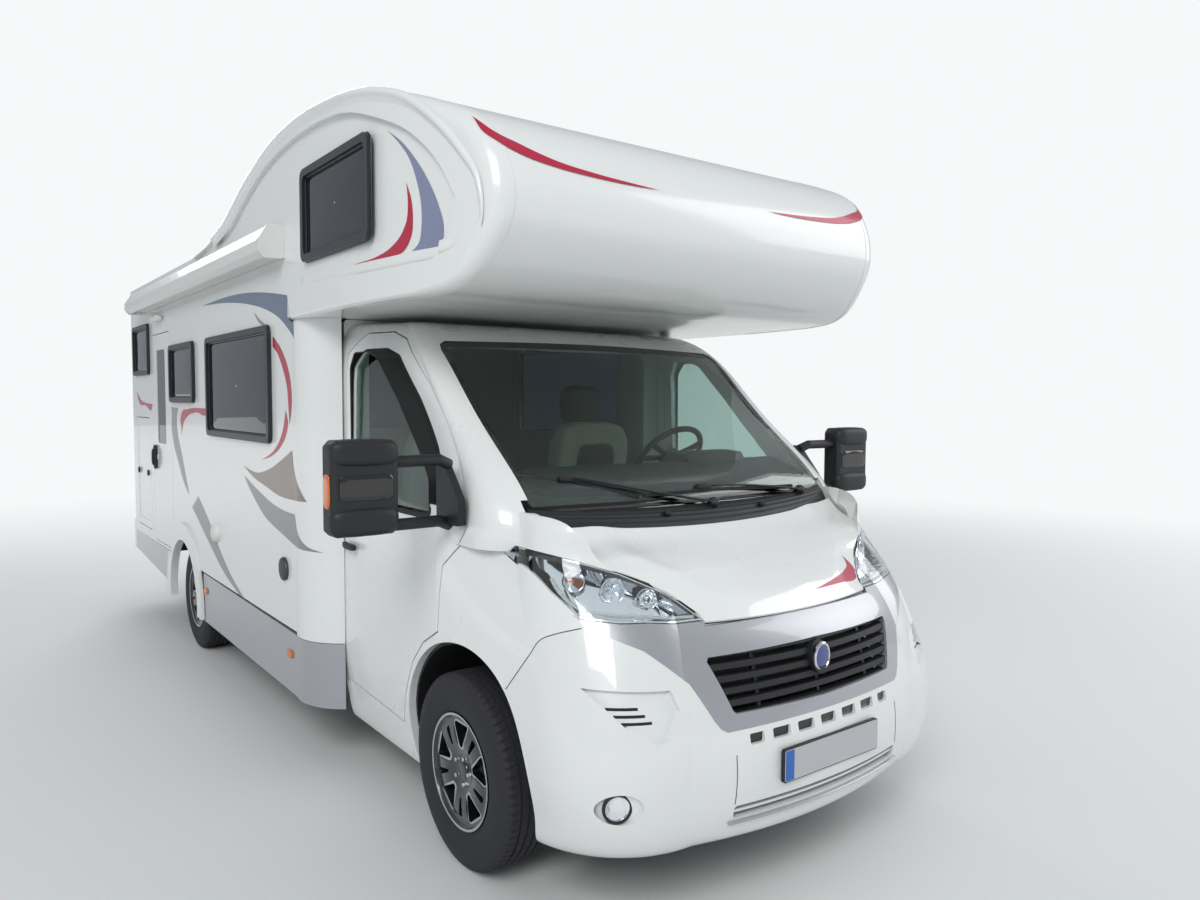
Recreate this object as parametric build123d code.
from functools import cache
from build123d import *
from math import cos, sin, pi, radians, sqrt
import os

# Alcove motorhome on a van cab. Millimetres, +Z up, the front faces -Y, the vehicle's right is -X.
# Lengths below are drawn with y = 0 at the front axle. ORIGIN_Y moves them to the frame of the part,
# whose origin is the middle of the footprint on the ground.

# driving dimensions
FRONT_Y = -960.0            # front face of the bumper
REAR_Y = 5790.0             # rear face of the rear bumper
ORIGIN_Y = (FRONT_Y + REAR_Y) / 2
WHEELBASE = 3800.0
TRACK_FRONT = 1810.0
TRACK_REAR = 1980.0
TYRE_R = 372.0
TYRE_W = 225.0
RIM_R = 221.0
CAB_HALF = 1025.0           # half width of the cab at the doors
HOUSE_HALF = 1165.0         # half width of the living body
WALL = 32.0                 # sandwich wall and cab panel thickness
HOUSE_FRONT_Y = 1380.0      # front edge of the flat side wall
HOUSE_REAR_Y = 5700.0       # outer face of the rear wall
HOUSE_LOW_Z = 640.0         # lower edge of the side walls
ROOF_Z = 2717.0             # main roof
PEAK_Y, PEAK_Z = 1200.0, 3105.0   # crown of the alcove roof
NOSE_Y, NOSE_Z = -356.0, 2470.0   # foremost point of the alcove
NOSE_R, CROWN_R = 380.0, 3219.0   # the two tangent arcs from nose to crown
SWEEP_R, SWEEP_DY = 3216.0, 1100.0  # the two arcs of the S behind the crown
ALCOVE_LOW_Z = 2172.0
NOSE_HALF = 1045.0          # half width of the alcove at its nose
HULL_Y = 1151.0             # front of the bulkhead behind the cab
CAB_REAR_Y = 1150.0         # rear edge of the cab's panels
GAP = 6.0                   # shut line round doors and lids

BIG = 4000.0
PARTS = {}


def add(name, shape):
    """Keeps a finished node under its name."""
    PARTS[name] = shape


def yz(face, x0, x1):
    """Extrudes a face drawn with (y, z) coordinates from x0 to x1."""
    return extrude(Plane.YZ.offset(x0) * face, x1 - x0, dir=(1, 0, 0))


def xy(face, z0, z1):
    """Extrudes a face drawn with (x, y) coordinates from z0 to z1."""
    return extrude(Plane.XY.offset(z0) * face, z1 - z0, dir=(0, 0, 1))


def xz(face, y0, y1):
    """Extrudes a face drawn with (x, z) coordinates from y0 back to y1."""
    return extrude(Plane.XZ.offset(-y0) * face, y1 - y0, dir=(0, 1, 0))


def poly(*pts):
    return make_face(Polyline(*pts, close=True))


def soft_poly(pts, radius):
    """A closed outline with all its corners rounded by one radius."""
    return make_face(FilletPolyline(*pts, radius=radius, close=True))


def rounded(y0, y1, z0, z1, r):
    return Pos((y0 + y1) / 2, (z0 + z1) / 2) * RectangleRounded(y1 - y0, z1 - z0, r)


def block(x0, x1, y0, y1, z0, z1):
    return Pos((x0 + x1) / 2, (y0 + y1) / 2, (z0 + z1) / 2) * Box(x1 - x0, y1 - y0, z1 - z0)


def rod_x(x0, x1, y, z, r):
    return Pos((x0 + x1) / 2, y, z) * Rot(0, 90, 0) * Cylinder(r, x1 - x0)


def rod_z(x, y, z0, z1, r):
    return Pos(x, y, (z0 + z1) / 2) * Cylinder(r, z1 - z0)


def tube(points, r):
    """Round bar along straight runs, with ball corners."""
    shape = None
    for a, b in zip(points, points[1:]):
        a, b = Vector(*a), Vector(*b)
        run = Plane(origin=(a + b) / 2, z_dir=(b - a)) * Cylinder(r, (b - a).length)
        shape = run if shape is None else shape + run
        if b != Vector(*points[-1]):
            shape += Pos(b.X, b.Y, b.Z) * Sphere(r)
    return shape


def both(shape):
    """The shape and its mirror image on the other side of the vehicle."""
    return Compound(children=list(shape.solids()) + list(mirror(shape, about=Plane.YZ).solids()))


def flip(shape):
    return mirror(shape, about=Plane.YZ)


def group(*shapes):
    return Compound(children=[s for shape in shapes for s in shape.solids()])


# outline of the living body in side view
def body_outline(inset=0.0):
    """Side outline of alcove, S curve, roof and rear, offset inwards by inset."""
    n_r, c_r = NOSE_R - inset, CROWN_R - inset
    peak = (PEAK_Y, PEAK_Z - inset)
    nose = (NOSE_Y + inset, NOSE_Z)
    c1 = (NOSE_Y + NOSE_R, NOSE_Z)
    c2 = (PEAK_Y, PEAK_Z - CROWN_R)
    span = sqrt((c1[0] - c2[0]) ** 2 + (c1[1] - c2[1]) ** 2)
    ux, uz = (c1[0] - c2[0]) / span, (c1[1] - c2[1]) / span
    joint = (c1[0] + ux * n_r, c1[1] + uz * n_r)
    mid1 = (c1[0] + n_r * cos(pi * 0.84), c1[1] + n_r * sin(pi * 0.84))
    half = ((joint[0] - c2[0]) / 2, c_r)
    lean = sqrt(c_r ** 2 - half[0] ** 2)
    mid2 = (c2[0] + half[0], c2[1] + lean)
    swing = SWEEP_DY / SWEEP_R
    cosw = sqrt(1 - swing ** 2)
    r_out, r_in = SWEEP_R - inset, SWEEP_R + inset
    drop = SWEEP_R * (1 - cosw)
    s_mid = (PEAK_Y + r_out * swing, PEAK_Z - SWEEP_R + r_out * cosw)
    s_quarter = (PEAK_Y + r_out * swing / 2, PEAK_Z - SWEEP_R + r_out * sqrt(1 - swing ** 2 / 4))
    low_c = (PEAK_Y + 2 * SWEEP_DY, PEAK_Z - 2 * drop + SWEEP_R)
    s_end = (low_c[0], low_c[1] - r_in)
    s_three = (low_c[0] - r_in * swing / 2, low_c[1] - r_in * sqrt(1 - swing ** 2 / 4))
    rear_top = (HOUSE_REAR_Y - inset, s_end[1])
    rear_low = (HOUSE_REAR_Y - inset, HOUSE_LOW_Z)
    front_low = (HOUSE_FRONT_Y, HOUSE_LOW_Z)
    knee = (HOUSE_FRONT_Y, ALCOVE_LOW_Z + inset)
    chin = (NOSE_Y + 196 + inset * 0.4, ALCOVE_LOW_Z + inset)
    cheek = (NOSE_Y + 36 + inset, 2385.0 + inset * 0.2)
    edges = [
        ThreePointArc(nose, mid1, joint), ThreePointArc(joint, mid2, peak),
        ThreePointArc(peak, s_quarter, s_mid), ThreePointArc(s_mid, s_three, s_end),
        Line(s_end, rear_top), Line(rear_top, rear_low), Line(rear_low, front_low),
        Line(front_low, knee), Line(knee, chin), Line(chin, cheek), Line(cheek, nose),
    ]
    return make_face(Wire(edges))


def body_plan(half, nose_half, front, reach=0.0):
    """Plan outline of the living body, tapering towards the nose of the alcove. With a reach it runs on square."""
    taper_y = 700.0
    front -= 9.0
    corner = 110.0
    mid = (half - (half - nose_half) * 0.42, (taper_y + front) / 2 - 60)
    edges = []
    for s in (1, -1):
        edges.append(Line((s * half, HOUSE_REAR_Y + 50), (s * half, taper_y)))
        edges.append(ThreePointArc((s * half, taper_y), (s * mid[0], mid[1]), (s * nose_half, front + corner)))
        if reach:
            edges.append(Line((s * nose_half, front + corner), (s * nose_half, front - reach)))
            edges.append(Line((s * nose_half, front - reach), (0, front - reach)))
        else:
            turn = ((nose_half - corner * 0.29289) * s, front + corner * 0.29289)
            edges.append(ThreePointArc((s * nose_half, front + corner), turn, (s * (nose_half - corner), front)))
            edges.append(Line((s * (nose_half - corner), front), (0, front)))
    edges.append(Line((-half, HOUSE_REAR_Y + 50), (half, HOUSE_REAR_Y + 50)))
    return make_face(Wire(edges))


# windows of the living body: name, y0, y1, z0, z1, corner radius, on the right, on the left
WINDOWS = [
    ("lounge", 1720, 3028, 1560, 2172, 45, True, True),
    ("kitchen", 3387, 4119, 1765, 2175, 45, True, True),
    ("bunk", 4900, 5550, 1985, 2392, 45, True, True),
    ("alcove", 391, 1183, 2420, 2840, 45, True, True),
]
FRAME_W = 34.0              # width of the black window frame outside its opening
DOOR_Y0, DOOR_Y1, DOOR_Z0, DOOR_Z1 = 4160.0, 4830.0, 665.0, 2285.0
HATCH_Y0, HATCH_Y1, HATCH_Z0, HATCH_Z1 = 4960.0, 5560.0, 720.0, 1630.0
ARCH_Z, REAR_ARCH_R = 372.0, 470.0


def house():
    outline = body_outline()
    inner_outline = body_outline(WALL)
    plan = body_plan(HOUSE_HALF, NOSE_HALF, NOSE_Y)
    inner_plan = body_plan(HOUSE_HALF - WALL, NOSE_HALF - WALL, NOSE_Y + WALL)
    top, low = PEAK_Z + 100, HOUSE_LOW_Z - 100
    core_plan = body_plan(HOUSE_HALF - WALL, NOSE_HALF - WALL, NOSE_Y, 300.0)
    full = yz(outline, -BIG / 2, BIG / 2) & xy(plan, low, top)
    core = xy(core_plan, low - 10, top + 10)
    sides = full - core
    skin = (full & core) - (yz(inner_outline, -BIG / 2, BIG / 2) & xy(inner_plan, low - 20, top + 20))
    window_holes = []
    for name, y0, y1, z0, z1, r, on_right, on_left in WINDOWS:
        hole = rounded(y0 + FRAME_W, y1 - FRAME_W, z0 + FRAME_W, z1 - FRAME_W, r - 15)
        if on_right:
            window_holes.append(yz(hole, -1400, -900))
        if on_left:
            window_holes.append(yz(hole, 900, 1400))
    wheel = rod_x(-1400, 1400, WHEELBASE, ARCH_Z, REAR_ARCH_R)
    door_hole = yz(rounded(DOOR_Y0 - GAP, DOOR_Y1 + GAP, DOOR_Z0 - GAP, DOOR_Z1 + GAP, 60), -1400, -900)
    hatch_hole = yz(rounded(HATCH_Y0 - GAP, HATCH_Y1 + GAP, HATCH_Z0 - GAP, HATCH_Z1 + GAP, 50), -1400, -900)
    for hole in window_holes + [wheel, door_hole, hatch_hole]:
        sides -= hole
    split = HOUSE_FRONT_Y
    alcove_zone = block(-BIG, BIG, -BIG, split, ALCOVE_LOW_Z - 5, BIG)
    right = block(-BIG, 0, -BIG, BIG * 2, 0, BIG)
    left = block(0, BIG, -BIG, BIG * 2, 0, BIG)
    wall_zone = block(-BIG, BIG, split, BIG * 2, 0, BIG)
    add("side_walls", group(sides & right & wall_zone, sides & left & wall_zone))
    add("alcove_sides", group(sides & right & alcove_zone, sides & left & alcove_zone))
    rim = alcove_rim(outline) & right
    add("alcove_rims", both(rim))
    front_skin = skin & alcove_zone
    rear_zone = block(-BIG, BIG, split, BIG * 2, ROOF_Z - 500, BIG)
    roof = skin & rear_zone & block(-BIG, BIG, 0, HOUSE_REAR_Y - WALL, 0, BIG)
    for y, size in ROOFLIGHTS:
        roof -= block(-size / 2, size / 2, y - size / 2, y + size / 2, 2000, 3300)
    add("alcove_shell", front_skin)
    add("main_roof", roof)
    rear = skin & block(-BIG, BIG, HOUSE_REAR_Y - WALL, BIG * 2, HOUSE_LOW_Z, BIG)
    rear -= xz(rounded(-420, 420, 1480, 1980, 40), 5500, 5900)
    add("rear_wall", rear)


def alcove_rim(outline):
    """The raised moulding round the alcove's side, which runs back along the S curve."""
    panel = make_face(Wire([
        ThreePointArc((-150, 2500), (100, 2765), (620, 2962)),
        ThreePointArc((620, 2962), (1230, 3008), (1800, 2945)),
        ThreePointArc((1800, 2945), (2100, 2860), (2390, 2764)),
        Line((2390, 2764), (3400, 2700)), Line((3400, 2700), (3400, 2330)),
        Line((3400, 2330), (HOUSE_FRONT_Y, 2330)), Line((HOUSE_FRONT_Y, 2330), (40, 2280)),
        Line((40, 2280), (-90, 2330)), Line((-90, 2330), (-150, 2500)),
    ]))
    ring = yz(outline, -BIG / 2, -500) - yz(panel, -BIG, BIG)
    ring &= block(-BIG, 0, -BIG, 3300, ALCOVE_LOW_Z - 5, BIG)
    ring -= block(-BIG, 0, HOUSE_FRONT_Y, BIG, 0, 2500)
    proud = body_plan(HOUSE_HALF + 22, NOSE_HALF + 22, NOSE_Y, 300.0)
    flush = body_plan(HOUSE_HALF + 0.2, NOSE_HALF + 0.2, NOSE_Y, 300.0)
    nose = body_plan(HOUSE_HALF + 22, NOSE_HALF + 22, NOSE_Y)
    return ring & xy(proud, 2000, 3300) & xy(nose, 1950, 3350) - xy(flush, 1900, 3400)


ROOFLIGHTS = [(3700.0, 400.0), (5000.0, 500.0)]   # centre y, square opening


def house_windows():
    frames, panes = [], []
    for name, y0, y1, z0, z1, r, on_right, on_left in WINDOWS:
        low = 5.0 if name == "alcove" else 0.0
        outer = rounded(y0, y1, z0, z1, r)
        hole = rounded(y0 + FRAME_W, y1 - FRAME_W, z0 + FRAME_W, z1 - FRAME_W, r - 15)
        x_face = HOUSE_HALF + 0.3
        frame = yz(outer, -x_face - 22, -x_face) - yz(hole, -x_face - 40, 0)
        pane = yz(hole, -x_face - 14, -x_face - 8)
        if name == "alcove":
            x_face = HOUSE_HALF + 0.3
        for keep, flipped in ((on_right, False), (on_left, True)):
            if keep:
                frames.append(flip(frame) if flipped else frame)
                panes.append(flip(pane) if flipped else pane)
    rear_frame = xz(rounded(-454, 454, 1446, 2014, 45), HOUSE_REAR_Y + 0.3, HOUSE_REAR_Y + 22)
    rear_hole = rounded(-420, 420, 1480, 1980, 30)
    rear_frame -= xz(rear_hole, HOUSE_REAR_Y - 50, HOUSE_REAR_Y + 60)
    frames.append(rear_frame)
    panes.append(xz(rear_hole, HOUSE_REAR_Y + 8, HOUSE_REAR_Y + 14))
    add("window_frames", group(*frames))
    add("window_panes", group(*panes))


def rooflights():
    lights = []
    for y, size in ROOFLIGHTS:
        s = size + 60
        z = ROOF_Z + 0.3
        base = block(-s / 2, s / 2, y - s / 2, y + s / 2, z, z + 25)
        dome = Pos(0, y, z + 25) * extrude(RectangleRounded(s - 30, s - 30, 60), 65, taper=25)
        lights.append(base + dome)
    add("rooflights", group(*lights))


def house_doors():
    door = yz(rounded(DOOR_Y0, DOOR_Y1, DOOR_Z0, DOOR_Z1, 54), -HOUSE_HALF, -HOUSE_HALF + WALL)
    pane_shape = rounded(4345, 4655, 1445, 2165, 30)
    door -= yz(pane_shape, -1400, -1000)
    pocket = Pos(-HOUSE_HALF, 4725, 1330) * Rot(0, 90, 0) * Cylinder(55, 30)
    door -= pocket
    handle = Pos(-HOUSE_HALF, 4725, 1330) * Rot(0, 90, 0) * Cylinder(55, 6) & block(-1200, -1100, 4600, 4800, 1310, 1350)
    add("entrance_door", door + handle)
    add("entrance_door_pane", yz(pane_shape, -HOUSE_HALF + 6, -HOUSE_HALF + 14))
    hatch = yz(rounded(HATCH_Y0, HATCH_Y1, HATCH_Z0, HATCH_Z1, 44), -HOUSE_HALF, -HOUSE_HALF + WALL)
    hatch -= yz(rounded(HATCH_Y0 + 60, HATCH_Y1 - 60, HATCH_Z0 + 60, HATCH_Z1 - 60, 30), -HOUSE_HALF - 5, -HOUSE_HALF + 4)
    add("garage_hatch", hatch)


def house_floor():
    x = HOUSE_HALF - WALL - 1
    floor = block(-x, x, HOUSE_FRONT_Y + 1, HOUSE_REAR_Y - WALL - 1, HOUSE_LOW_Z + 10, HOUSE_LOW_Z + 55)
    floor += block(-x + 110, x - 110, HULL_Y + 25, HOUSE_FRONT_Y + 1, HOUSE_LOW_Z + 10, HOUSE_LOW_Z + 55)
    floor -= rod_x(-1400, -740, WHEELBASE, ARCH_Z, REAR_ARCH_R)
    floor -= rod_x(740, 1400, WHEELBASE, ARCH_Z, REAR_ARCH_R)
    wells = rod_x(-x, -740, WHEELBASE, ARCH_Z, REAR_ARCH_R) - rod_x(-x - 20, -750, WHEELBASE, ARCH_Z, REAR_ARCH_R - 10)
    wells &= block(-x, -700, 3000, 4500, HOUSE_LOW_Z + 10, 1000)
    add("house_floor", floor)
    add("rear_wheel_boxes", both(wells))


def chassis():
    low_rail = [(0, 0), (75, 0), (75, 6), (6, 6), (6, 114), (75, 114), (75, 120), (0, 120)]
    frame = None
    for y0, y1, z0, x_web in ((-600, 1240, 330, 440), (1240, 5640, 529, 440)):
        rail = xz(poly(*[(x_web - u, z0 + v) for u, v in low_rail]), y0, y1)
        rail += flip(rail)
        frame = rail if frame is None else frame + rail
    for s in (-1, 1):
        frame += block(s * 403 - 38, s * 403 + 38, 1180, 1300, 330, 649)
    for y, z0, z1 in ((-565, 340, 440), (640, 340, 440), (2300, 545, 640), (3000, 545, 640), (4500, 545, 640), (5600, 545, 640)):
        frame += block(-437, 437, y - 30, y + 30, z0, z1)
    for y in (1600, 2700, 4900, 5500):
        outrigger = yz(poly((y - 20, 649), (y + 20, 649), (y + 20, 560), (y - 20, 560)), 438, 1120)
        frame += outrigger + flip(outrigger)
    for x in (-440, 440):
        for y in (5380, 5460):
            frame -= rod_x(x - 20, x + 20, y, 589, 6.5)
    add("chassis_frame", frame)
    tanks = block(-380, 380, 1700, 2250, 330, 495) + block(480, 900, 1750, 2650, 330, 545)
    tanks = fillet(tanks.edges().filter_by(Axis.Z), 40)
    exhaust = tube([(-250, 420, 300), (-250, 1450, 300), (-620, 1650, 330), (-620, 2500, 330)], 32)
    muffler = Pos(-620, 2350, 330) * Rot(90, 0, 0) * Cylinder(85, 520)
    add("tanks_and_exhaust", group(tanks, exhaust + muffler))
    add("engine_block", fillet(block(-330, 330, -560, 60, 460, 1010).edges(), 40))


def rear_axle():
    hub_x = TRACK_REAR / 2 - 60
    beam = rod_x(-hub_x, hub_x, WHEELBASE, ARCH_Z, 45)
    for s in (-1, 1):
        beam += rod_x(s * hub_x - 12, s * hub_x + 12, WHEELBASE, ARCH_Z, 150)
        beam += rod_x(min(s * hub_x, s * (TRACK_REAR / 2 + 29.7)), max(s * hub_x, s * (TRACK_REAR / 2 + 29.7)), WHEELBASE, ARCH_Z, 56)
        beam += block(s * 560 - 35, s * 560 + 35, WHEELBASE - 620, WHEELBASE + 680, ARCH_Z + 40, ARCH_Z + 62)
        beam += block(s * 560 - 45, s * 560 + 45, WHEELBASE - 90, WHEELBASE + 90, ARCH_Z - 40, ARCH_Z + 90)
        for y in (WHEELBASE - 600, WHEELBASE + 650):
            beam += block(s * 560 - 30, s * 560 + 30, y - 25, y + 25, ARCH_Z + 45, 530)
            beam += block(min(s * 480, s * 590), max(s * 480, s * 590), y - 25, y + 25, 500, 540)
    add("rear_axle", beam)


def wheel(x_centre, y, side):
    """A tyre and its alloy rim, side -1 on the vehicle's right."""
    h = TYRE_W / 2
    section = make_face(Wire([
        Line((RIM_R - 8, -88), (RIM_R - 8, 88)),
        Line((RIM_R - 8, 88), (RIM_R + 18, 104)),
        ThreePointArc((RIM_R + 18, 104), (RIM_R + 78, h), (TYRE_R - 30, 103)),
        ThreePointArc((TYRE_R - 30, 103), (TYRE_R - 8, 95), (TYRE_R, 76)),
        Line((TYRE_R, 76), (TYRE_R, -76)),
        ThreePointArc((TYRE_R, -76), (TYRE_R - 8, -95), (TYRE_R - 30, -103)),
        ThreePointArc((TYRE_R - 30, -103), (RIM_R + 78, -h), (RIM_R + 18, -104)),
        Line((RIM_R + 18, -104), (RIM_R - 8, -88)),
    ]))
    tyre = revolve(Plane.XY * section, Axis.Y)
    tyre = Rot(0, 0, 90) * tyre
    lip, drop = RIM_R, RIM_R - 26
    pr = [(drop - 12, -86), (drop - 12, 70), (60, 62), (60, 30), (0, 30), (0, 84), (62, 84), (120, 96),
          (drop - 6, 84), (drop + 6, 104), (lip, 104), (lip, 94), (RIM_R - 9, 88), (RIM_R - 9, -88),
          (lip, -94), (lip, -102), (drop + 4, -98)]
    rim = revolve(Plane.XY * make_face(Polyline(*pr, close=True)), Axis.Y)
    for k in range(5):
        for turn, w0, w1, r0, r1 in ((0.0, 10, 46, 92, 186), (36.0, 13, 40, 104, 184)):
            a = 72 * k + turn
            cut = poly((-w0, r0), (w0, r0), (w1, r1), (-w1, r1))
            rim -= Rot(0, a, 0) * xz(cut, 50, 150)
    for k in range(5):
        rim -= Rot(0, 72 * k + 36, 0) * Pos(0, 80, 65) * Rot(90, 0, 0) * Cylinder(9, 60)
    rim = Rot(0, 0, 90) * rim
    if side > 0:
        tyre, rim = Rot(0, 0, 180) * tyre, Rot(0, 0, 180) * rim
    place = Pos(x_centre, y, TYRE_R)
    return place * tyre, place * rim


def wheels():
    for name, x, y in (("front", TRACK_FRONT / 2, 0.0), ("rear", TRACK_REAR / 2, WHEELBASE)):
        for label, side in (("right", -1), ("left", 1)):
            tyre, rim = wheel(side * x, y, side)
            add(f"tyre_{name}_{label}", tyre)
            add(f"rim_{name}_{label}", rim)


KING_X = 850.0      # steering axis of a front wheel


def knuckles():
    x0 = TRACK_FRONT / 2
    hub = rod_x(-x0 - 29.7, -x0 + 60, 0, TYRE_R, 58)
    disc = rod_x(-x0 + 30, -x0 + 58, 0, TYRE_R, 150)
    carrier = block(-x0 + 58, -x0 + 120, -45, 45, TYRE_R - 130, TYRE_R + 150)
    caliper = block(-x0 + 16, -x0 + 76, 62, 145, TYRE_R - 75, TYRE_R + 75)
    arm = block(-x0 + 90, -x0 + 115, 0, 170, TYRE_R - 60, TYRE_R - 25)
    knuckle = hub + disc + carrier + caliper + arm
    add("knuckle_right", knuckle)
    add("knuckle_left", flip(knuckle))
    lower = xy(poly((-742, -40), (-742, 40), (-590, 45), (-560, 190), (-490, 190), (-490, -190), (-560, -190),
                    (-590, -45)), 285, 315)
    strut = rod_z(-690, 0, 640, 860, 50) + rod_z(-690, 0, 440, 640, 25) + rod_z(-690, 0, 860, 905, 60)
    strut += block(-690, -650, -20, 20, 430, 470) + block(-660, -630, -20, 20, 305, 460)
    strut += block(-690, -481, -50, 50, 872, 898)
    side = lower + strut
    rack = rod_x(-560, 560, 225, 300, 27)
    add("front_suspension", group(side, flip(side), rack))


# Sections of the cab: height, y at the middle, x and y where the front meets the corner,
# x and y where the corner meets the flank, half width, y from which the flank is straight
NOSE = [
    (250, -800, 520, -740, 930, -400, 965, 150),
    (350, -938, 590, -865, 960, -500, 990, 150),
    (460, -957, 620, -880, 980, -540, 1008, 150),
    (600, -950, 620, -878, 990, -540, 1022, 150),
    (760, -915, 600, -848, 978, -490, 1025, 150),
    (900, -885, 590, -797, 965, -440, 1025, 150),
    (1020, -800, 560, -735, 945, -370, 1025, 150),
    (1150, -560, 520, -590, 915, -280, 1020, 150),
    (1275, -300, 460, -450, 880, -200, 1016, 150),
    (1375, -60, 560, -235, 870, -60, 1012, 150),
]
GREENHOUSE = [
    (1240, -285, 760, -245, 985, -95, 1024, 1140),
    (1371, -272, 800, -236, 980, -30, 1023, 1140),
    (1700, 110, 805, 143, 915, 260, 1018, 1140),
    (2031, 492, 805, 523, 880, 620, 1008, 1140),
    (2105, 620, 770, 650, 850, 740, 985, 1140),
    (2150, 800, 700, 820, 800, 900, 930, 1140),
]


def section(row, d, dz=0.0, rear=CAB_REAR_Y):
    """One plan section of the cab, offset inwards by d."""
    z, yf, xa, ya, xb, yb, xs, ys = row
    yf, ya, yb, xb, xs = yf + d, ya + d, yb + d * 0.3, xb - d * 0.9, xs - d
    slope = 2 * (ya - yf) / xa
    cx, cy = xb - 6, ya + slope * (xb - xa) * 0.7
    mx, my = (xa + 2 * cx + xb) / 4, (ya + 2 * cy + yb) / 4
    edges = [ThreePointArc((-xa, ya), (0, yf), (xa, ya))]
    edges += [ThreePointArc((xa, ya), (mx, my), (xb, yb)), Line((xb, yb), (xs, ys)), Line((xs, ys), (xs, rear))]
    edges += [Line((xs, rear), (-xs, rear)), Line((-xs, rear), (-xs, ys)), Line((-xs, ys), (-xb, yb))]
    edges += [ThreePointArc((-xb, yb), (-mx, my), (-xa, ya))]
    return Pos(0, 0, z + dz) * make_face(Wire(edges))


@cache
def nose(inset=0.0, drop=0.0):
    """The lower cab, or the same form offset inwards. It runs on behind, and drop lowers its bottom."""
    rear = CAB_REAR_Y + 100.0
    return loft([section(row, inset, -drop if k == 0 else 0.0, rear) for k, row in enumerate(NOSE)])


@cache
def greenhouse(inset=0.0):
    """The upper cab from the windscreen back, or the same form offset inwards. It runs on behind."""
    rear = CAB_REAR_Y + 130.0
    rows = [section(row, inset, 0.0, rear) for row in GREENHOUSE[:-1]]
    return loft(rows + [section(GREENHOUSE[-1], inset, -inset, rear)])


def layer(form, outer, inner, zone):
    """The part of a form's skin between two depths that lies in a zone."""
    return (form(outer) & zone) - form(inner)


# side view of the cab door (y, z), from its lower rear corner forwards and round
DOOR = [(1085, 452), (500, 420), (445, 560), (360, 720), (265, 818), (140, 888), (118, 1150), (-15, 1290),
        (-32, 1315), (150, 1600), (429, 1855), (700, 2056), (820, 2094), (985, 2094), (1085, 2000)]
DOOR_GLASS = [(1010, 1330), (1016, 1940), (960, 2008), (800, 2008), (700, 1975), (480, 1785), (291, 1590),
              (205, 1480), (205, 1330)]
ARCH_Y, ARCH_C, ARCH_R = -20.0, 418.0, 450.0   # front wheel arch
# the bonnet's shut line on the cab's surface, right half from the middle of the front edge:
# x, y, z, extra room behind
BONNET = [(0, -880, 1016, 0), (455, -840, 1016, 0), (455, -757, 1030, 0), (520, -655, 1095, 0), (673, -562, 1182, 0),
          (790, -430, 1225, 0), (840, -300, 1280, 0), (836, -262, 1330, 8), (746, -305, 1345, 8), (570, -352, 1340, 8),
          (300, -325, 1300, 8), (0, -305, 1275, 8)]
BONNET_LEAN = 0.2                              # the cut leans forward by this per unit of height
COWL = [(0, -320), (300, -335), (570, -350), (746, -300), (842, -262), (850, -212), (850, -100), (0, -100)]
# front views (x, z), right half
SCREEN = [(0, 1352), (420, 1356), (700, 1372), (812, 1392), (822, 1420), (823, 2000), (812, 2030), (780, 2046),
          (400, 2056), (0, 2060)]
LAMP = [(446, 1026), (520, 1108), (673, 1186), (800, 1232), (895, 1262), (915, 1240), (888, 1130), (856, 1056),
        (760, 1042), (673, 1040), (560, 1026)]
BAND = [(0, 1020), (446, 1020), (450, 1040), (700, 1064), (866, 1066), (848, 1026), (715, 961),
        (582, 845), (516, 720), (494, 690), (470, 676), (0, 676)]
GRILLE = [(0, 926), (492, 918), (500, 905), (436, 742), (424, 730), (0, 722)]
RECESS = [(906, 850), (660, 838), (640, 770), (700, 690), (735, 676), (830, 745)]
FOG = (-852.0, 480.0)


def half_view(points):
    """A front view (x, z) drawn as its right half, closed over the middle."""
    return points + [(-x, z) for x, z in reversed(points) if x > 0]


def front_zone(points, y0=-1300.0, y1=700.0):
    return xz(poly(*half_view(points)), y0, y1)


def pair_zone(face, y0=-1300.0, y1=0.0):
    shape = xz(face, y0, y1)
    return shape + flip(shape)


def grown(points, gap):
    return offset(poly(*points), amount=gap, kind=Kind.INTERSECTION)


def bonnet_prism(gap, share):
    """The bonnet's cut, widened by a gap and by a share of the extra room behind."""
    low = 1016 - gap
    points = [(x, y + share * room + BONNET_LEAN * (z - low)) for x, y, z, room in BONNET]
    face = Pos(0, 0, low) * offset(poly(*half_view(points)), amount=gap, kind=Kind.INTERSECTION)
    return extrude(face, amount=420, dir=(0, -BONNET_LEAN, 1))


def cab():
    shell = (nose() + greenhouse()) - nose(WALL, 20.0) - greenhouse(WALL)
    shell &= block(-BIG, BIG, -BIG, CAB_REAR_Y, 0, BIG)
    arch = rod_x(-BIG / 2, -600, ARCH_Y, ARCH_C, ARCH_R)
    shell -= arch + flip(arch)
    # doors
    opening = yz(soft_poly(DOOR_GLASS, 34), -BIG / 2, -780)
    door = (shell & yz(poly(*DOOR), -BIG / 2, -780)) - opening
    pane = layer(greenhouse, 10, 16, opening)
    for side, turn in (("right", lambda shape: shape), ("left", flip)):
        add(f"cab_door_{side}", turn(door))
        add(f"door_glass_{side}", turn(pane))
    hole = yz(grown(DOOR, GAP), -BIG / 2, -780)
    shell -= hole + flip(hole)
    # windscreen
    screen_zone = front_zone(SCREEN) & block(-BIG, BIG, -BIG, 720, 1300, 2070)
    add("windscreen", layer(greenhouse, 10, 16, screen_zone))
    return shell - screen_zone


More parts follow.
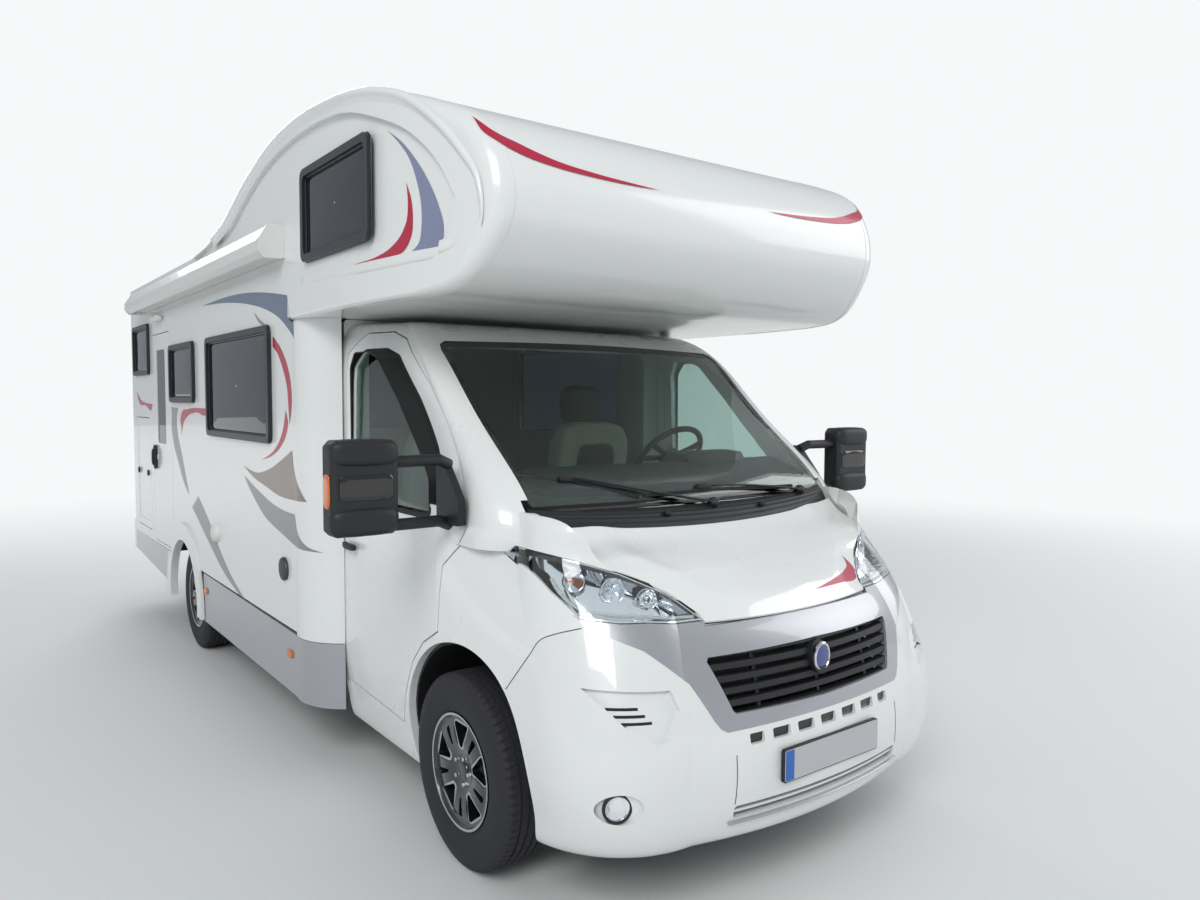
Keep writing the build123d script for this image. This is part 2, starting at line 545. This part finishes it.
def cab_front(shell):
    """Bonnet, scuttle, lamps, grille and bumper: the pieces of the cab's front."""
    lamp_zone = pair_zone(poly(*LAMP)) & block(-BIG, BIG, -BIG, -150, 900, 1500)
    around_lamps = pair_zone(grown(LAMP, GAP)) & block(-BIG, BIG, -BIG, -150, 900, 1500)
    add("bonnet", (shell & bonnet_prism(0, 0)) - around_lamps)
    shell -= bonnet_prism(GAP, 1) - lamp_zone
    scuttle_zone = xy(poly(*half_view(COWL)), 1180, 1420)
    add("scuttle", shell & scuttle_zone)
    shell -= scuttle_zone
    add("headlamps", layer(nose, 0, 4, lamp_zone))
    cup = pair_zone(grown(LAMP, -2)) & block(-BIG, BIG, -BIG, -150, 900, 1500)
    inside = pair_zone(grown(LAMP, -6)) & block(-BIG, BIG, -BIG, -156, 900, 1500)
    add("lamp_bowls", layer(nose, 5, 84, cup) - layer(nose, 4, 80, inside))
    shell -= lamp_zone
    band_zone = front_zone(BAND, y1=-400.0)
    grille_zone = front_zone(GRILLE, y1=-400.0)
    add("grille_surround", (shell & band_zone) - grille_zone)
    bars = block(-BIG, BIG, -BIG, -600, 722, 730)
    for z in (752, 792, 832, 872, 912):
        bars += block(-BIG, BIG, -BIG, -600, z, z + 20)
    slats = layer(nose, 10, 40, grille_zone) & bars
    ribs = block(-308, -292, -BIG, -600, 700, 950) + block(-8, 8, -BIG, -600, 700, 950)
    ribs += block(292, 308, -BIG, -600, 700, 950)
    slats += layer(nose, 28, 40, grille_zone) & ribs
    emblem = layer(nose, -6, 30, xz(Pos(0, 857) * Ellipse(50, 60), -1000, -800))
    add("grille", slats + emblem)
    shell -= band_zone
    # bumper, with its slots, lower intake, side pockets and fog lamp seats
    seam = yz(poly((-1300, 100), (-250, 100), (-250, 720), (-324, 774), (-467, 975), (-596, 1034), (-1300, 1034)),
              -BIG / 2, BIG / 2)
    bumper = shell & seam
    cuts = [xz(Pos(x, 640) * RectangleRounded(w, 36, 7), -1100, -700) for x, w in SLOTS]
    cuts.append(xz(rounded(-452, 452, 378, 424, 12), -1100, -700))
    pockets = pair_zone(poly(*RECESS), y1=-400.0)
    seats = xz(Pos(*FOG) * Ellipse(62, 52), -1000, -500)
    seats += flip(seats)
    bumper = bumper - cuts - pockets - seats
    bumper += layer(nose, 18, WALL - 4, pockets) + layer(nose, 20, WALL - 3, seats)
    bumper += layer(nose, 10, 30, xz(rounded(-456, 456, 396, 406, 3), -1100, -700))
    add("front_bumper", bumper)
    add("cab_shell", shell - seam)


SLOTS = [(-352, 62), (-240, 82), (-120, 82), (0, 82), (120, 82), (240, 82), (352, 62)]   # centre x, width


def corner_arc(x0, y0, x1, y1, bulge):
    """Convex arc between two plan points, bulging forwards and outwards."""
    mx, my = (x0 + x1) / 2, (y0 + y1) / 2
    dx, dy = x1 - x0, y1 - y0
    run = sqrt(dx * dx + dy * dy)
    return (mx - dy / run * bulge, my + dx / run * bulge)


def fairings_and_skirts():
    inner = CAB_HALF + 2
    out, thick = HOUSE_HALF, 26.0
    a, b = (-inner, 1100.0), (-out, HOUSE_FRONT_Y - 0.5)
    am, bm = (-inner, 1100.0 + thick), (-out + thick, HOUSE_FRONT_Y - 0.5)
    plan = make_face(Wire([
        ThreePointArc(a, corner_arc(*a, *b, 46.0), b), Line(b, bm),
        ThreePointArc(bm, corner_arc(*am, *bm, 46.0), am), Line(am, a),
    ]))
    upper = xy(plan, 622, ALCOVE_LOW_Z - 1)
    bulkhead = xz(rounded(-CAB_HALF + 30, CAB_HALF - 30, HOUSE_LOW_Z + 10, ALCOVE_LOW_Z - 2, 20), HULL_Y, HULL_Y + 22)
    bulkhead -= xz(rounded(-870, 870, 696, 2050, 60), 1100, 1250)
    add("corner_fairings", group(both(upper), bulkhead))
    nose = xy(plan, 300, 619)
    cut = yz(poly((1000, 200), (1800, 200), (1800, 318), (1300, 306), (1000, 300)), -BIG, BIG)
    front = yz(poly((HOUSE_FRONT_Y, 314), (HOUSE_FRONT_Y, 619), (3280, 629), (3280, 309)), -out + 3, -out + 22)
    rear = yz(poly((4250, 386), (4250, 634), (5680, 638), (5680, 471)), -out + 3, -out + 22)
    arch = rod_x(-BIG, BIG, WHEELBASE, ARCH_Z, 536)
    front -= arch
    rear -= arch
    lip = block(-out + 3, -out + 90, HOUSE_FRONT_Y + 3, 3260, 309, 316) - arch
    ring = rod_x(-out - 20, -out - 0.3, WHEELBASE, ARCH_Z, 535) - rod_x(-BIG, 0, WHEELBASE, ARCH_Z, 412)
    collar = rod_x(-out - 0.3, -out + 31, WHEELBASE, ARCH_Z, 468) - rod_x(-BIG, 0, WHEELBASE, ARCH_Z, 412)
    ring += collar
    ring &= block(-BIG, 0, 0, BIG * 2, 316, 1000)
    add("side_skirts", group(both((nose - cut) + front + lip), both(rear)))
    door_room = block(-BIG, 0, DOOR_Y0 - 20, DOOR_Y1, 640, 1000)
    add("rear_arch_trims", group(ring - door_room, flip(ring)))


def rear_end():
    plan = soft_poly([(-out_x, HOUSE_REAR_Y + 0.5) for out_x in (HOUSE_HALF,)] +
                     [(HOUSE_HALF, HOUSE_REAR_Y + 0.5), (HOUSE_HALF, REAR_Y - 20), (HOUSE_HALF - 90, REAR_Y),
                      (-HOUSE_HALF + 90, REAR_Y), (-HOUSE_HALF, REAR_Y - 20)], 8)
    solid = xy(plan, 470, 720)
    hollow = block(-HOUSE_HALF + 25, HOUSE_HALF - 25, HOUSE_REAR_Y - 10, REAR_Y - 25, 400, 700)
    bumper = solid - hollow
    lamp = xz(rounded(820, 1060, 590, 680, 20), REAR_Y - 60, REAR_Y + 50)
    bumper -= lamp + flip(lamp)
    add("rear_bumper", bumper)
    cluster = xz(rounded(822, 1058, 592, 678, 18), REAR_Y - 24, REAR_Y + 4)
    upright = xz(rounded(1050, 1140, 900, 1330, 30), HOUSE_REAR_Y + 0.4, HOUSE_REAR_Y + 45)
    marker = xz(rounded(1080, 1130, 2440, 2540, 12), HOUSE_REAR_Y + 0.4, HOUSE_REAR_Y + 25)
    add("rear_lamps", both(group(cluster, upright, marker)))


def awning():
    """A wall-mounted awning in its rolled-up cassette."""
    face = soft_poly([(-1166, 2640), (-1166, 2484), (-1262, 2480), (-1290, 2510), (-1290, 2560), (-1240, 2640)], 14)
    cassette = xz(face, 1505, 5160)
    cassette -= xz(soft_poly([(-1180, 2478), (-1255, 2478), (-1262, 2496), (-1180, 2496)], 4), 1560, 5100)
    caps = xz(offset(face, amount=4), 1478, 1504) + xz(offset(face, amount=4), 5161, 5187)
    caps &= block(-BIG, -1165.5, 0, BIG * 2, 0, BIG)
    add("awning_cassette", group(cassette, caps))


MIRROR_Z = (1335.0, 1565.0)     # heights of the two arms of a mirror


def mirrors():
    """Long-armed double mirrors, one on each cab door."""
    head = xz(soft_poly([(-1490, 1330), (-1490, 1625), (-1470, 1648), (-1262, 1648), (-1242, 1625), (-1242, 1330),
                         (-1262, 1310), (-1470, 1310)], 16), -10, 95)
    head = fillet(head.edges().filter_by(Axis.Z), 22)
    head -= xz(rounded(-1474, -1258, 1450, 1630, 22), 87, 120)
    head -= xz(rounded(-1474, -1258, 1326, 1436, 22), 87, 120)
    arms = None
    for z in MIRROR_Z:
        arm = tube([(-1250, 40, z), (-1060, 45, z), (-1012, 60, z - 20)], 22)
        arms = arm if arms is None else arms + arm
    foot = yz(soft_poly([(-60, 1322), (-52, 1420), (70, 1560), (120, 1560), (120, 1322)], 12), -1034, -1002)
    foot -= greenhouse(-0.4)
    arms -= greenhouse(-0.4)
    mirror_right = head + arms + foot
    add("mirror_right", mirror_right)
    add("mirror_left", flip(mirror_right))


WHEEL_AT = (480.0, 480.0, 1500.0)   # steering wheel centre
COLUMN_TILT = 38.0                  # column above the horizontal


def steering():
    spot = Plane(origin=WHEEL_AT, x_dir=(1, 0, 0), z_dir=(0, cos(radians(COLUMN_TILT)), sin(radians(COLUMN_TILT))))
    rim = Torus(190, 15)
    hub = Pos(0, 0, -18) * Cylinder(60, 44)
    for a in (90 + 120, 90 - 120, 0, 180):
        hub += Rot(0, 0, a) * Pos(115, 0, -8) * Box(130, 30, 14)
    add("steering_wheel", spot * (rim + hub))
    column = spot * Pos(0, 0, -160) * Cylinder(42, 236)
    return column


def cab_inside():
    dash = yz(poly((-190, 1352), (0, 1450), (150, 1500), (240, 1495), (285, 1440), (270, 1330), (215, 1230),
                   (175, 1060), (160, 700), (100, 700), (100, 1000), (-60, 1240), (-190, 1290)), -905, 905)
    binnacle = yz(soft_poly([(90, 1440), (150, 1535), (270, 1545), (300, 1500), (280, 1400), (150, 1380)], 14), 290, 670)
    console = yz(poly((100, 700), (100, 1200), (215, 1230), (260, 1190), (240, 900), (250, 700)), -170, 170)
    body = dash + binnacle + console
    body += steering()
    body -= xz(rounded(-860, -420, 1210, 1310, 14), 225, 300) & block(-BIG, BIG, 0, 400, 1000, 1330)
    doors = block(-BIG, -960, -BIG, BIG, 0, BIG)
    body = (body & greenhouse(WALL + 6)) + (body & block(-BIG, BIG, -BIG, BIG, 0, 1245))
    arch = rod_x(-BIG, -560, ARCH_Y, ARCH_C, ARCH_R + 4)
    add("dashboard", body - doors - flip(doors) - arch - flip(arch))
    firewall = xz(rounded(-900, 900, 425, 1235, 10), 62, 76)
    floor = block(-900, 900, 77, 1117, 645, 690)
    for part in (arch, flip(arch)):
        firewall -= part
        floor -= part
    add("cab_floor", group(floor, firewall & block(-BIG, BIG, 0, 200, 452, 995)))
    liner = rod_x(-1000, -600, ARCH_Y, ARCH_C, ARCH_R - 2) - rod_x(-1100, -610, ARCH_Y, ARCH_C, ARCH_R - 12)
    liner &= block(-BIG, 0, -BIG, BIG, 420, BIG)
    liner -= block(-785, -500, -110, 110, 420, 1000)
    liner &= nose(WALL + 1)
    add("wheel_liners", both(liner))
    seats = []
    for x in (-440, 440):
        base = block(x - 200, x + 200, 740, 1150, 691, 950)
        cushion = yz(soft_poly([(690, 960), (690, 1080), (720, 1110), (1180, 1080), (1180, 960)], 24), x - 245, x + 245)
        back = yz(soft_poly([(1060, 1085), (1150, 1645), (1270, 1640), (1230, 1085)], 22), x - 225, x + 225)
        cut = xz(poly((x - 240, 1090), (x - 240, 1660), (x - 150, 1660), (x - 225, 1350), (x - 226, 1090)), 1000, 1300)
        back -= cut + mirror(cut, about=Plane.YZ.offset(x))
        rest = yz(soft_poly([(1165, 1668), (1185, 1860), (1215, 1885), (1262, 1868), (1256, 1668)], 20), x - 125, x + 125)
        posts = rod_z(x - 60, 1215, 1640, 1690, 7) + rod_z(x + 60, 1215, 1640, 1690, 7)
        seats += [base, cushion, back + rest + posts]
    add("cab_seats", group(*seats))


def furniture():
    # name, x0, x1, y0, y1, z0, z1
    fl = HOUSE_LOW_Z + 56
    items = [
        ("front bench", -1130, -560, 1440, 1820, fl, 1120), ("front bench back", -1130, -560, 1440, 1520, 1121, 1640),
        ("table", -1130, -520, 1900, 2500, 1400, 1430), ("table leg", -640, -580, 2170, 2230, fl, 1399),
        ("rear bench", -1130, -560, 2580, 2960, fl, 1120), ("rear bench back", -1130, -560, 2880, 2960, 1121, 1640),
        ("kitchen", -1130, -600, 3000, 4110, 850, 1590), ("kitchen locker", -1130, -820, 3000, 4110, 2230, 2640),
        ("side bench", 620, 1130, 1440, 2500, fl, 1120), ("left locker", 820, 1130, 1500, 3000, 2230, 2600),
        ("wardrobe", 560, 1130, 3020, 3600, 850, 2650), ("washroom wall", 420, 450, 3620, 4850, fl, 2650),
        ("bunk", -1130, 1130, 4920, 5660, 1655, 1700), ("garage wall", -430, 400, 4890, 4915, fl, 1654),
    ]
    add("furniture", group(*[block(*item[1:]) for item in items]))


def build_all():
    house()
    house_windows()
    rooflights()
    house_doors()
    house_floor()
    chassis()
    rear_axle()
    wheels()
    knuckles()
    cab_front(cab())
    fairings_and_skirts()
    rear_end()
    awning()
    mirrors()
    cab_inside()
    furniture()


build_all()
os.makedirs("parts", exist_ok=True)
for name, shape in PARTS.items():
    solids = [solid.translate((0, -ORIGIN_Y, 0), transform=True) for solid in shape.solids()]
    export_step(solids[0] if len(solids) == 1 else Compound(children=solids), f"parts/{name}.step")
